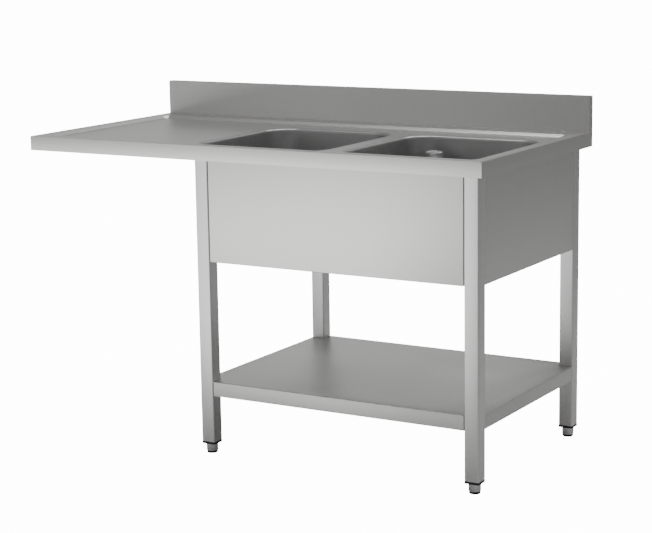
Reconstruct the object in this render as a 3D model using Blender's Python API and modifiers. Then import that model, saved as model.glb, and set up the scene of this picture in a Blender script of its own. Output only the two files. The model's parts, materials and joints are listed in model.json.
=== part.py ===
"""Catering sink unit: a pressed worktop with an overhanging drainboard, two deep bowls, an apron,
an open shelf and four square legs on screw feet.

Metres, +Z up. The origin is on the floor under the middle of the unit. X runs along the worktop,
the drainboard is at -X, and the upstand is at +Y.
"""

import math

import bmesh
import bpy
from mathutils import Matrix, Vector

# ---- driving dimensions -------------------------------------------------------------------
GAP = 0.0003

# worktop
WORKTOP_LENGTH = 1.400
WORKTOP_DEPTH = 0.700
WORKTOP_HEIGHT = 0.850
EDGE_HEIGHT = 0.040
EDGE_RETURN = 0.010
UPSTAND_HEIGHT = 0.100
UPSTAND_THICKNESS = 0.022
WORKTOP_SHEET = 0.0012
FOLD_RADIUS = 0.0025
BORDER_WIDTH = 0.032
LEDGE_WIDTH = 0.068
RECESS_DROP = 0.008
RECESS_SLOPE = 0.006
RECESS_CORNER = 0.018

# bowls
DRAINBOARD_LENGTH = 0.493
BOWL_DIVIDER = 0.046
BOWL_END_MARGIN = 0.051
BOWL_FRONT_MARGIN = 0.060
BOWL_REAR_MARGIN = 0.180
BOWL_DEPTH = 0.250
BOWL_CORNER = 0.080
BOWL_RIM_RADIUS = 0.008
BOWL_FLOOR_RADIUS = 0.030
BOWL_FLANGE = 0.006
BOWL_SHEET = 0.001
FLOOR_FALL = 0.006
DRAIN_CLEARANCE = 0.0022
DRAIN_SHIFT = 0.020

# waste fittings and standpipe
WASTE_BORE = 0.020
WASTE_WALL = 0.0036
WASTE_FLANGE_WIDTH = 0.0144
WASTE_FLANGE_THICKNESS = 0.002
WASTE_LENGTH = 0.052
WASTE_SEAT_DEPTH = 0.018
WASTE_SEAT_TAPER = 0.0015
WASTE_POCKET_DEPTH = 0.0026
WASTE_POCKET_CLEARANCE = 0.0012
GASKET_WIDTH = 0.009
GASKET_THICKNESS = 0.003
NUT_WIDTH = 0.012
NUT_HEIGHT = 0.010
NUT_BEVEL = 0.001
STANDPIPE_WALL = 0.0012
STANDPIPE_BELOW_RIM = 0.033
STANDPIPE_LIP = 0.0045
PLUG_COLLAR_OVERLAP = 0.0023
PLUG_COLLAR_HEIGHT = 0.006
PLUG_SPIGOT_HEIGHT = 0.016
PLUG_WALL = 0.0042

# frame
LEFT_OVERHANG = 0.547
LEG_SIZE = 0.040
LEG_WALL = 0.0015
LEG_CORNER = 0.003
LEG_FRONT_INSET = 0.012
LEG_END_INSET = 0.014
LEG_REAR_INSET = 0.053
RAIL_WALL = 0.0015
RAIL_BOWL_CLEARANCE = 0.002
RAIL_END_CLEARANCE = 0.004
CROSS_RAIL_WIDTH = 0.034
CROSS_RAIL_CLEARANCE = 0.003
SOCKET_PLATE = 0.003
SOCKET_DEPTH = 0.036
SOCKET_WALL = 0.004

# apron panels
APRON_HEIGHT = 0.275
REAR_PANEL_HEIGHT = 0.110
PANEL_SHEET = 0.001
PANEL_INSET = 0.001
PANEL_SEAM = 0.0015
PANEL_FLANGE = 0.018
PANEL_FOLD_RADIUS = 0.0015

# shelf
SHELF_HEIGHT = 0.205
SHELF_EDGE = 0.040
SHELF_SHEET = 0.0012
SHELF_SEAM = 0.001
STIFFENER_WIDTH = 0.060
STIFFENER_HEIGHT = 0.024
STIFFENER_END_CLEARANCE = 0.020

# feet
TUBE_BOTTOM = 0.034
INSERT_FLANGE = 0.006
INSERT_LIP = 0.0006
INSERT_DEPTH = 0.030
FOOT_RADIUS = 0.0162
FOOT_BEVEL = 0.0025
STEM_RADIUS = 0.006
STEM_LENGTH = 0.066
PAD_THICKNESS = 0.006
PAD_INSET = 0.0012

# fasteners: shank radius, shank length, head radius, head height
SHELF_BOLT = (0.003, 0.009, 0.0055, 0.0035)
PANEL_SCREW = (0.002, 0.007, 0.004, 0.0022)
SOCKET_SCREW = (0.004, 0.0042, 0.0065, 0.003)
HEAD_CROWN = 0.7
HEAD_SHOULDER = 0.45
SCREW_ABOVE_APRON_BOTTOM = 0.060
SCREW_BELOW_LEG_TOP = 0.024

# how finely round shapes are faceted
CORNER_SEGMENTS = 7
LEG_CORNER_SEGMENTS = 2
RECESS_CORNER_SEGMENTS = 3
RIM_SEGMENTS = 3
BOWL_FLOOR_SEGMENTS = 4
ROUND_STEPS = 28
FOOT_STEPS = 20
SMALL_STEPS = 14
LIP_STEPS = 6
NUT_SIDES = 8

# ---- levels and places that follow from them ----------------------------------------------
EDGE_BOTTOM = WORKTOP_HEIGHT - EDGE_HEIGHT
FIELD_TOP = WORKTOP_HEIGHT - RECESS_DROP
FIELD_UNDERSIDE = FIELD_TOP - WORKTOP_SHEET
LEG_TOP = EDGE_BOTTOM - GAP
SOCKET_TOP = EDGE_BOTTOM + SOCKET_PLATE
RAIL_BOTTOM = SOCKET_TOP + GAP
RAIL_TOP = FIELD_UNDERSIDE - GAP
APRON_BOTTOM = EDGE_BOTTOM - APRON_HEIGHT
BOWL_TOP = FIELD_UNDERSIDE - GAP
BOWL_FLOOR = BOWL_TOP - BOWL_DEPTH

BOWL_LENGTH = (WORKTOP_LENGTH - DRAINBOARD_LENGTH - BOWL_DIVIDER - BOWL_END_MARGIN) / 2
BOWL_WIDTH = WORKTOP_DEPTH - BOWL_FRONT_MARGIN - BOWL_REAR_MARGIN
LEFT_BOWL_EDGE = DRAINBOARD_LENGTH - WORKTOP_LENGTH / 2
BOWL_CENTRES = {
    "left": LEFT_BOWL_EDGE + BOWL_LENGTH / 2,
    "right": LEFT_BOWL_EDGE + BOWL_LENGTH * 1.5 + BOWL_DIVIDER,
}
BOWL_CENTRE_Y = -WORKTOP_DEPTH / 2 + BOWL_FRONT_MARGIN + BOWL_WIDTH / 2
WASTE_RADIUS = WASTE_BORE + WASTE_WALL
WASTE_FLANGE_RADIUS = WASTE_RADIUS + WASTE_FLANGE_WIDTH
WASTE_POCKET_RADIUS = WASTE_FLANGE_RADIUS + WASTE_POCKET_CLEARANCE
DRAIN_HOLE = WASTE_RADIUS + GAP
DRAIN_FLOOR = BOWL_FLOOR - FLOOR_FALL - WASTE_POCKET_DEPTH
STANDPIPE_RADIUS = WASTE_BORE + WASTE_SEAT_TAPER + PLUG_COLLAR_OVERLAP

# The waste's pocket stays clear of the floor's straight sides and of its round corner.
FLOOR_CORNER = BOWL_CORNER - BOWL_RIM_RADIUS - BOWL_FLOOR_RADIUS
POCKET_REACH = WASTE_POCKET_RADIUS + WASTE_POCKET_DEPTH + DRAIN_CLEARANCE
DRAIN_FROM_FLOOR_EDGE = max(
    POCKET_REACH, FLOOR_CORNER - (FLOOR_CORNER - POCKET_REACH) / math.sqrt(2)
)
DRAIN_INSET = BOWL_RIM_RADIUS + BOWL_FLOOR_RADIUS + DRAIN_FROM_FLOOR_EDGE
DRAIN_OFFSET = Vector(
    (DRAIN_SHIFT + DRAIN_INSET - BOWL_LENGTH / 2, BOWL_WIDTH / 2 - DRAIN_INSET, 0)
)

# The outer faces of the leg frame. The drainboard and the left bowl's side overhang its left.
FRAME_LEFT = LEFT_OVERHANG - WORKTOP_LENGTH / 2
FRAME_RIGHT = WORKTOP_LENGTH / 2 - LEG_END_INSET
FRAME_FRONT = -WORKTOP_DEPTH / 2 + LEG_FRONT_INSET
FRAME_REAR = WORKTOP_DEPTH / 2 - LEG_REAR_INSET
FRAME_CENTRE = Vector(((FRAME_LEFT + FRAME_RIGHT) / 2, (FRAME_FRONT + FRAME_REAR) / 2, 0))
FRAME_LENGTH = FRAME_RIGHT - FRAME_LEFT
FRAME_DEPTH = FRAME_REAR - FRAME_FRONT

# The long rails fill the width between the legs' outer face and the bowls' flange.
RAIL_WIDTH = BOWL_FRONT_MARGIN - BOWL_FLANGE - LEG_FRONT_INSET - RAIL_BOWL_CLEARANCE

# Each leg by name: the side of the frame it stands on, along X and along Y.
LEGS = {
    "front_left": (-1, -1),
    "front_right": (1, -1),
    "rear_left": (-1, 1),
    "rear_right": (1, 1),
}


def leg_centre(side_x, side_y):
    """The point on the floor under a leg's axis."""
    half_x = (FRAME_LENGTH - LEG_SIZE) / 2
    half_y = (FRAME_DEPTH - LEG_SIZE) / 2
    return FRAME_CENTRE + Vector((side_x * half_x, side_y * half_y, 0))


# ---- scene and helpers --------------------------------------------------------------------
for old in list(bpy.data.objects):
    bpy.data.objects.remove(old, do_unlink=True)

PARTS = bpy.data.collections.new("sink_unit")
CUTTERS = bpy.data.collections.new("cutters")
bpy.context.scene.collection.children.link(PARTS)
bpy.context.scene.collection.children.link(CUTTERS)
CUTTERS.hide_render = True


def material(name, colour, metallic, roughness):
    made = bpy.data.materials.new(name)
    made.use_nodes = True
    shader = made.node_tree.nodes["Principled BSDF"]
    shader.inputs["Base Color"].default_value = (*colour, 1)
    shader.inputs["Metallic"].default_value = metallic
    shader.inputs["Roughness"].default_value = roughness
    return made


def add_object(name, bm, finish, location=(0, 0, 0), rotation=None):
    """Links a bmesh as a new object of the unit, with its own mesh and one material."""
    mesh = bpy.data.meshes.new(name)
    bm.to_mesh(mesh)
    bm.free()
    obj = bpy.data.objects.new(name, mesh)
    obj.location = location
    if rotation is not None:
        obj.rotation_euler = rotation.to_euler()
    if finish is None:
        CUTTERS.objects.link(obj)
        obj.hide_render = True
        obj.display_type = "WIRE"
    else:
        PARTS.objects.link(obj)
        mesh.materials.append(finish)
    return obj


def box(length, width, height):
    """A box with its centre at the origin."""
    bm = bmesh.new()
    bmesh.ops.create_cube(bm, size=1)
    bmesh.ops.scale(bm, vec=(length, width, height), verts=bm.verts)
    return bm


def faces_facing(bm, direction):
    return [face for face in bm.faces if face.normal.dot(Vector(direction)) > 0.99]


def draw_out(bm, face, distance):
    """Extrudes a face by a distance along its own normal and gives the new end face."""
    normal = face.normal.copy()
    made = bmesh.ops.extrude_face_region(bm, geom=[face])["geom"]
    if face.is_valid:
        bmesh.ops.delete(bm, geom=[face], context="FACES_ONLY")
    moved = [item for item in made if isinstance(item, bmesh.types.BMVert)]
    bmesh.ops.translate(bm, vec=normal * distance, verts=moved)
    end = next(item for item in made if isinstance(item, bmesh.types.BMFace))
    end.normal_update()
    return end


def inset(bm, face, thickness, depth=0):
    bmesh.ops.inset_region(
        bm,
        faces=[face],
        thickness=thickness,
        depth=depth,
        use_even_offset=True,
        use_boundary=True,
    )


def round_uprights(bm, radius, segments):
    """Rounds the upright edges of a box."""
    upright = [edge for edge in bm.edges if abs(edge.verts[0].co.z - edge.verts[1].co.z) > GAP]
    bmesh.ops.bevel(
        bm, geom=upright, offset=radius, segments=segments, profile=0.5, affect="EDGES"
    )
    bm.normal_update()


def drop_faces(bm, *directions):
    """Opens a box by taking away the faces that look in these directions."""
    bm.normal_update()
    for direction in directions:
        bmesh.ops.delete(bm, geom=faces_facing(bm, direction), context="FACES")


def bevel(obj, width, segments=2):
    modifier = obj.modifiers.new("fold radius", "BEVEL")
    modifier.limit_method = "ANGLE"
    modifier.angle_limit = math.radians(30)
    modifier.width = width
    modifier.segments = segments


def solidify(obj, thickness):
    """Gives an open surface its wall, on the side away from its normals."""
    modifier = obj.modifiers.new("sheet", "SOLIDIFY")
    modifier.thickness = thickness
    modifier.offset = -1
    modifier.use_even_offset = True
    modifier.use_quality_normals = True


def cut(obj, cutter):
    modifier = obj.modifiers.new(f"cut {cutter.name}", "BOOLEAN")
    modifier.operation = "DIFFERENCE"
    modifier.object = cutter


def drill(obj, name, centre, direction, radius, length):
    """Cuts a round hole with its middle at centre."""
    bm = bmesh.new()
    bmesh.ops.create_cone(
        bm, cap_ends=True, segments=SMALL_STEPS, radius1=radius, radius2=radius, depth=length
    )
    turn = Vector((0, 0, 1)).rotation_difference(Vector(direction))
    cut(obj, add_object(name, bm, None, centre, turn))


def turned(name, profile, finish, location, closed=False, steps=ROUND_STEPS, rotation=None):
    """Turns a profile of (radius, height) points, listed down its outer side, about Z."""
    bm = bmesh.new()
    points = [bm.verts.new((radius, 0, height)) for radius, height in profile]
    pairs = list(zip(points, points[1:]))
    if closed:
        pairs.append((points[-1], points[0]))
    for pair in pairs:
        bm.edges.new(pair)
    obj = add_object(name, bm, finish, location, rotation)
    screw = obj.modifiers.new("turn", "SCREW")
    screw.steps = steps
    screw.render_steps = steps
    screw.use_merge_vertices = True
    screw.merge_threshold = 0.00001
    return obj


def round_tube(name, size, length, wall, corner, axis, finish, location):
    """A rectangular tube, open at both ends, along axis ("X", "Y" or "Z")."""
    sizes = {"X": (length, *size), "Y": (size[0], length, size[1]), "Z": (*size, length)}[axis]
    along = Vector([1 if letter == axis else 0 for letter in "XYZ"])
    bm = box(*sizes)
    drop_faces(bm, along, -along)
    obj = add_object(name, bm, finish, location)
    bevel(obj, corner)
    solidify(obj, wall)
    return obj


def fastener(name, sizes, finish, seat, direction):
    """A round-headed screw. Its head sits on seat and its shank points along direction."""
    shank, length, head, height = sizes
    profile = (
        (0, height),
        (head * HEAD_CROWN, height),
        (head, height * HEAD_SHOULDER),
        (head, 0),
        (shank, 0),
        (shank, -length),
        (0, -length),
    )
    turn = Vector((0, 0, -1)).rotation_difference(Vector(direction))
    return turned(name, profile, finish, seat, steps=SMALL_STEPS, rotation=turn)


# ---- materials ----------------------------------------------------------------------------
WORKTOP_STEEL = material("worktop_steel", (0.60, 0.60, 0.59), 1.0, 0.34)
BOWL_STEEL = material("bowl_steel", (0.46, 0.46, 0.46), 1.0, 0.28)
APRON_STEEL = material("apron_steel", (0.63, 0.63, 0.62), 1.0, 0.38)
LEG_STEEL = material("leg_steel", (0.66, 0.66, 0.65), 1.0, 0.36)
SHELF_STEEL = material("shelf_steel", (0.58, 0.58, 0.57), 1.0, 0.24)
RAIL_STEEL = material("rail_steel", (0.50, 0.50, 0.50), 1.0, 0.45)
POLISHED_STEEL = material("polished_steel", (0.78, 0.78, 0.78), 1.0, 0.08)
FOOT_STEEL = material("foot_steel", (0.62, 0.62, 0.61), 1.0, 0.25)
SCREW_STEEL = material("screw_steel", (0.55, 0.55, 0.55), 1.0, 0.30)
BLACK_PLASTIC = material("black_plastic", (0.02, 0.02, 0.02), 0.0, 0.45)
BLACK_RUBBER = material("black_rubber", (0.03, 0.03, 0.03), 0.0, 0.7)


# ---- worktop ------------------------------------------------------------------------------
def worktop():
    """One folded sheet: edges with a return, an upstand and a pressed field. Local z 0 is the top."""
    bm = box(WORKTOP_LENGTH, WORKTOP_DEPTH, EDGE_HEIGHT)
    bmesh.ops.translate(bm, vec=(0, 0, -EDGE_HEIGHT / 2), verts=bm.verts)
    upstand_face = WORKTOP_DEPTH / 2 - UPSTAND_THICKNESS
    bmesh.ops.bisect_plane(
        bm,
        geom=bm.verts[:] + bm.edges[:] + bm.faces[:],
        plane_co=(0, upstand_face, 0),
        plane_no=(0, 1, 0),
    )
    bm.normal_update()
    under = faces_facing(bm, (0, 0, -1))
    field, strip = sorted(faces_facing(bm, (0, 0, 1)), key=lambda face: face.calc_center_median().y)
    draw_out(bm, strip, UPSTAND_HEIGHT)

    bmesh.ops.inset_region(bm, faces=under, thickness=EDGE_RETURN, use_even_offset=True)
    bmesh.ops.delete(bm, geom=under, context="FACES")

    inset(bm, field, BORDER_WIDTH)
    rear = [vert for vert in field.verts if vert.co.y > 0]
    bmesh.ops.translate(bm, vec=(0, BORDER_WIDTH - LEDGE_WIDTH, 0), verts=rear)
    bmesh.ops.bevel(
        bm,
        geom=list(field.verts),
        offset=RECESS_CORNER,
        segments=RECESS_CORNER_SEGMENTS,
        profile=0.5,
        affect="VERTICES",
        clamp_overlap=True,
    )
    bm.normal_update()
    field = max(faces_facing(bm, (0, 0, 1)), key=lambda face: face.calc_area())
    inset(bm, field, RECESS_SLOPE, -RECESS_DROP)
    obj = add_object("worktop", bm, WORKTOP_STEEL, (0, 0, WORKTOP_HEIGHT))
    bevel(obj, FOLD_RADIUS)
    solidify(obj, WORKTOP_SHEET)
    for side, x in BOWL_CENTRES.items():
        bm = box(BOWL_LENGTH, BOWL_WIDTH, 4 * EDGE_HEIGHT)
        round_uprights(bm, BOWL_CORNER, CORNER_SEGMENTS)
        cut(obj, add_object(f"{side}_bowl_opening", bm, None, (x, BOWL_CENTRE_Y, FIELD_TOP)))


# ---- bowls --------------------------------------------------------------------------------
def quarter_steps(radius, segments, start_flat):
    """(inward, down) of each step round a quarter bend that starts level or starts upright."""
    angles = [math.pi / 2 * step / segments for step in range(segments + 1)]
    for a, b in zip(angles, angles[1:]):
        sines = radius * (math.sin(b) - math.sin(a))
        cosines = radius * (math.cos(a) - math.cos(b))
        yield (sines, cosines) if start_flat else (cosines, sines)


def drain_ring(bm, loop):
    """Joins the floor's open edge to a circle round the drain, and gives the circle's edges."""
    turn = Matrix.Rotation(math.pi / len(loop), 4, "Z")
    made = bmesh.ops.create_circle(
        bm,
        cap_ends=False,
        radius=WASTE_POCKET_RADIUS + WASTE_POCKET_DEPTH,
        segments=len(loop),
        matrix=Matrix.Translation(DRAIN_OFFSET - Vector((0, 0, BOWL_DEPTH + FLOOR_FALL))) @ turn,
    )
    ring = list({edge for vert in made["verts"] for edge in vert.link_edges})
    bmesh.ops.bridge_loops(bm, edges=loop + ring)
    return ring


def shrink_ring(bm, ring, radius, drop):
    """Extrudes a circle round the drain to a new radius, further down, and gives its edges."""
    made = bmesh.ops.extrude_edge_only(bm, edges=ring)["geom"]
    verts = {each for each in made if isinstance(each, bmesh.types.BMVert)}
    for vert in verts:
        reach = vert.co - DRAIN_OFFSET
        reach.z = 0
        vert.co += reach.normalized() * (radius - reach.length) - Vector((0, 0, drop))
    return [
        each
        for each in made
        if isinstance(each, bmesh.types.BMEdge) and verts.issuperset(each.verts)
    ]


def bowl(side):
    """A drawn bowl with a flange under the worktop. Its floor falls to a drain near one corner."""
    bm = bmesh.new()
    bmesh.ops.create_grid(bm, x_segments=1, y_segments=1, size=0.5)
    outline = (BOWL_LENGTH + 2 * BOWL_FLANGE, BOWL_WIDTH + 2 * BOWL_FLANGE, 1)
    bmesh.ops.scale(bm, vec=outline, verts=bm.verts)
    bmesh.ops.bevel(
        bm,
        geom=bm.verts[:],
        offset=BOWL_CORNER + BOWL_FLANGE,
        segments=CORNER_SEGMENTS,
        profile=0.5,
        affect="VERTICES",
    )
    bm.faces.ensure_lookup_table()
    face = bm.faces[0]
    if face.normal.z < 0:
        face.normal_flip()
    steps = [(BOWL_FLANGE, 0)]
    steps += quarter_steps(BOWL_RIM_RADIUS, RIM_SEGMENTS, start_flat=True)
    for inward, down in steps:
        inset(bm, face, inward, -down)
    wall = BOWL_DEPTH - BOWL_RIM_RADIUS - BOWL_FLOOR_RADIUS
    face.normal_update()
    face = draw_out(bm, face, -wall)
    for inward, down in quarter_steps(BOWL_FLOOR_RADIUS, BOWL_FLOOR_SEGMENTS, start_flat=False):
        inset(bm, face, inward, -down)
    loop = list(face.edges)
    bmesh.ops.delete(bm, geom=[face], context="FACES_ONLY")
    ring = drain_ring(bm, loop)
    ring = shrink_ring(bm, ring, WASTE_POCKET_RADIUS, WASTE_POCKET_DEPTH)
    shrink_ring(bm, ring, DRAIN_HOLE, 0)
    bmesh.ops.recalc_face_normals(bm, faces=bm.faces)
    bm.normal_update()
    flange = max(bm.faces, key=lambda each: each.calc_center_median().z)
    if flange.normal.z < 0:
        bmesh.ops.reverse_faces(bm, faces=bm.faces)
    place = (BOWL_CENTRES[side], BOWL_CENTRE_Y, BOWL_TOP)
    obj = add_object(f"{side}_bowl", bm, BOWL_STEEL, place)
    solidify(obj, BOWL_SHEET)


# ---- waste fittings and standpipe ---------------------------------------------------------
def drain_place(side, level):
    return Vector((BOWL_CENTRES[side], BOWL_CENTRE_Y, level)) + DRAIN_OFFSET


def waste_fitting(side):
    """A flanged waste through the bowl's floor, its gasket and its back nut. Local z 0 is the seat."""
    top = WASTE_FLANGE_THICKNESS
    mouth = WASTE_BORE + WASTE_SEAT_TAPER
    body = (
        (mouth, top),
        (WASTE_FLANGE_RADIUS - top, top),
        (WASTE_FLANGE_RADIUS, 0),
        (WASTE_RADIUS, 0),
        (WASTE_RADIUS, -WASTE_LENGTH),
        (WASTE_BORE, -WASTE_LENGTH),
        (WASTE_BORE, -WASTE_SEAT_DEPTH),
    )
    place = drain_place(side, DRAIN_FLOOR + GAP)
    turned(f"{side}_waste_body", body, POLISHED_STEEL, place, closed=True)

    inner = WASTE_RADIUS + GAP
    outer = inner + GASKET_WIDTH
    under_floor = DRAIN_FLOOR - BOWL_SHEET - GAP
    gasket = (
        (inner, 0),
        (outer, 0),
        (outer, -GASKET_THICKNESS),
        (inner, -GASKET_THICKNESS),
    )
    place = drain_place(side, under_floor)
    turned(f"{side}_waste_gasket", gasket, BLACK_RUBBER, place, closed=True)

    bm = bmesh.new()
    across = inner + NUT_WIDTH
    bmesh.ops.create_cone(
        bm, cap_ends=True, segments=NUT_SIDES, radius1=across, radius2=across, depth=NUT_HEIGHT
    )
    middle = under_floor - GASKET_THICKNESS - GAP - NUT_HEIGHT / 2
    nut = add_object(f"{side}_waste_nut", bm, BLACK_PLASTIC, drain_place(side, middle))
    bevel(nut, NUT_BEVEL, segments=1)
    bm = bmesh.new()
    bmesh.ops.create_cone(
        bm, cap_ends=True, segments=ROUND_STEPS, radius1=inner, radius2=inner, depth=2 * NUT_HEIGHT
    )
    cut(nut, add_object(f"{side}_nut_bore", bm, None, drain_place(side, middle)))


def standpipe(side):
    """The overflow pipe and the rubber plug that seats it in the waste. Local z 0 is the flange."""
    place = drain_place(side, DRAIN_FLOOR + GAP + WASTE_FLANGE_THICKNESS)
    bottom = GAP + PLUG_COLLAR_HEIGHT + GAP
    top = BOWL_TOP - STANDPIPE_BELOW_RIM - place.z
    inner = STANDPIPE_RADIUS - STANDPIPE_WALL
    bead = STANDPIPE_LIP / 2
    lip = [
        (
            STANDPIPE_RADIUS - bead + bead * math.cos(angle),
            top - bead + bead * math.sin(angle),
        )
        for angle in (math.pi * step / LIP_STEPS for step in range(LIP_STEPS, -1, -1))
    ]
    profile = [(inner - STANDPIPE_LIP + STANDPIPE_WALL, top - STANDPIPE_LIP)]
    profile += lip
    profile += [(STANDPIPE_RADIUS, bottom), (inner, bottom), (inner, top - 2 * STANDPIPE_LIP)]
    turned("standpipe", profile, POLISHED_STEEL, place, closed=True)

    spigot = inner - GAP
    taper_top = WASTE_BORE + WASTE_SEAT_TAPER - GAP
    taper_bottom = WASTE_BORE - GAP
    bore = taper_bottom - PLUG_WALL
    plug = (
        (bore, GAP + PLUG_COLLAR_HEIGHT + PLUG_SPIGOT_HEIGHT),
        (spigot, GAP + PLUG_COLLAR_HEIGHT + PLUG_SPIGOT_HEIGHT),
        (spigot, GAP + PLUG_COLLAR_HEIGHT),
        (STANDPIPE_RADIUS, GAP + PLUG_COLLAR_HEIGHT),
        (STANDPIPE_RADIUS, GAP),
        (taper_top, GAP),
        (taper_bottom, -WASTE_SEAT_DEPTH - WASTE_FLANGE_THICKNESS),
        (bore, -WASTE_SEAT_DEPTH - WASTE_FLANGE_THICKNESS),
    )
    turned("standpipe_plug", plug, BLACK_RUBBER, place, closed=True)


# ---- frame under the worktop --------------------------------------------------------------
def rails():
    """Two long rails over the legs, and cross rails between them."""
    height = RAIL_TOP - RAIL_BOTTOM
    level = (RAIL_TOP + RAIL_BOTTOM) / 2
    length = WORKTOP_LENGTH - 2 * (WORKTOP_SHEET + RAIL_END_CLEARANCE)
    for name, y in (
        ("front_rail", FRAME_FRONT + RAIL_WIDTH / 2),
        ("rear_rail", FRAME_REAR - RAIL_WIDTH / 2),
    ):
        round_tube(
            name, (RAIL_WIDTH, height), length, RAIL_WALL, LEG_CORNER, "X", RAIL_STEEL, (0, y, level)
        )
    span = FRAME_DEPTH - 2 * (RAIL_WIDTH + GAP)
    half = CROSS_RAIL_WIDTH / 2
    clear = half + BOWL_FLANGE + CROSS_RAIL_CLEARANCE
    left_end = RAIL_END_CLEARANCE + WORKTOP_SHEET + half - WORKTOP_LENGTH / 2
    bowl_side = LEFT_BOWL_EDGE - clear
    right_side = BOWL_CENTRES["right"] + BOWL_LENGTH / 2 + clear
    for name, x in (
        ("drainboard_end_rail", left_end + EDGE_RETURN),
        ("drainboard_middle_rail", (left_end + EDGE_RETURN + bowl_side) / 2),
        ("bowl_side_rail", bowl_side),
        ("right_end_rail", right_side),
    ):
        round_tube(
            name,
            (CROSS_RAIL_WIDTH, height),
            span,
            RAIL_WALL,
            LEG_CORNER,
            "Y",
            RAIL_STEEL,
            (x, FRAME_CENTRE.y, level),
        )


def leg_socket(name, centre):
    """A plate under the rail, with a hollow plug below it that fills the top of the leg."""
    bm = box(LEG_SIZE, LEG_SIZE, SOCKET_PLATE)
    round_uprights(bm, LEG_CORNER, LEG_CORNER_SEGMENTS)
    (face,) = faces_facing(bm, (0, 0, -1))
    inset(bm, face, LEG_WALL + GAP)
    draw_out(bm, face, SOCKET_DEPTH)
    place = centre + Vector((0, 0, SOCKET_TOP - SOCKET_PLATE / 2))
    socket = add_object(name, bm, RAIL_STEEL, place)
    hollow = LEG_SIZE - 2 * (LEG_WALL + GAP + SOCKET_WALL)
    bm = box(hollow, hollow, 2 * SOCKET_DEPTH)
    under_plate = centre + Vector((0, 0, EDGE_BOTTOM - SOCKET_DEPTH))
    cut(socket, add_object(f"{name}_hollow", bm, None, under_plate))
    return socket


# ---- legs and feet ------------------------------------------------------------------------
def leg(corner, side_x, side_y):
    """A square tube with its socket, foot insert, screw foot and the screws that go into it."""
    centre = leg_centre(side_x, side_y)
    length = LEG_TOP - TUBE_BOTTOM
    tube = round_tube(
        f"{corner}_leg",
        (LEG_SIZE, LEG_SIZE),
        length,
        LEG_WALL,
        LEG_CORNER,
        "Z",
        LEG_STEEL,
        centre + Vector((0, 0, TUBE_BOTTOM + length / 2)),
    )
    socket = leg_socket(f"{corner}_leg_socket", centre)
    row, end = corner.split("_")
    inward_x = Vector((-side_x, 0, 0))
    inward_y = Vector((0, -side_y, 0))
    flange_line = LEG_SIZE / 2 - PANEL_INSET - PANEL_FLANGE / 2
    panel_gap = PANEL_SEAM + PANEL_SHEET
    low_level = APRON_BOTTOM + SCREW_ABOVE_APRON_BOTTOM
    rear_level = LEG_TOP - REAR_PANEL_HEIGHT / 2
    screws = [
        (
            f"{corner}_shelf_bolt",
            "shelf",
            SHELF_BOLT,
            inward_x,
            SHELF_SEAM + SHELF_SHEET,
            Vector((0, 0, SHELF_HEIGHT - SHELF_EDGE / 2)),
        ),
        (
            f"{row}_panel_screw_{end}",
            f"{row}_panel",
            PANEL_SCREW,
            inward_x,
            panel_gap,
            -inward_y * flange_line + Vector((0, 0, rear_level if row == "rear" else low_level)),
        ),
        (
            f"{corner}_socket_screw",
            "socket",
            SOCKET_SCREW,
            inward_x,
            0,
            inward_y * LEG_SIZE / 4 + Vector((0, 0, LEG_TOP - SCREW_BELOW_LEG_TOP)),
        ),
    ]
    # Only the right end has a panel across it.
    if end == "right":
        screws.append(
            (
                f"right_panel_screw_{row}",
                "right_panel",
                PANEL_SCREW,
                inward_y,
                panel_gap,
                -inward_x * flange_line + Vector((0, 0, low_level)),
            )
        )
    for name, held, sizes, inward, stack, along in screws:
        axis_point = centre + along
        seat = axis_point + inward * (LEG_SIZE / 2 + stack + GAP)
        wall = axis_point + inward * (LEG_SIZE - LEG_WALL) / 2
        hole = sizes[0] + GAP
        fastener(name, sizes, SCREW_STEEL, seat, -inward)
        drill(tube, f"{name}_leg_hole", wall, inward, hole, 4 * LEG_WALL)
        if held == "socket":
            behind = wall - inward * (LEG_WALL + SOCKET_WALL) / 2
            drill(socket, f"{name}_socket_hole", behind, inward, hole, 2 * SOCKET_WALL)
        else:
            clamped = seat - inward * (GAP + stack / 2)
            HOLES.setdefault(held, []).append((name, clamped, inward, hole))
    leg_insert(corner, centre)
    foot(corner, centre)


def leg_insert(corner, centre):
    """A plastic plug in the foot of the leg, with a flange that shows and a bore for the stem."""
    size = LEG_SIZE + 2 * INSERT_LIP
    bm = box(size, size, INSERT_FLANGE)
    round_uprights(bm, LEG_CORNER + INSERT_LIP, LEG_CORNER_SEGMENTS)
    (face,) = faces_facing(bm, (0, 0, 1))
    inset(bm, face, LEG_WALL + GAP + INSERT_LIP)
    draw_out(bm, face, INSERT_DEPTH)
    level = TUBE_BOTTOM - GAP - INSERT_FLANGE / 2
    insert = add_object(
        f"{corner}_leg_insert", bm, BLACK_PLASTIC, centre + Vector((0, 0, level))
    )
    drill(
        insert,
        f"{corner}_stem_bore",
        centre + Vector((0, 0, level)),
        (0, 0, 1),
        STEM_RADIUS + GAP,
        4 * INSERT_DEPTH,
    )


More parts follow.
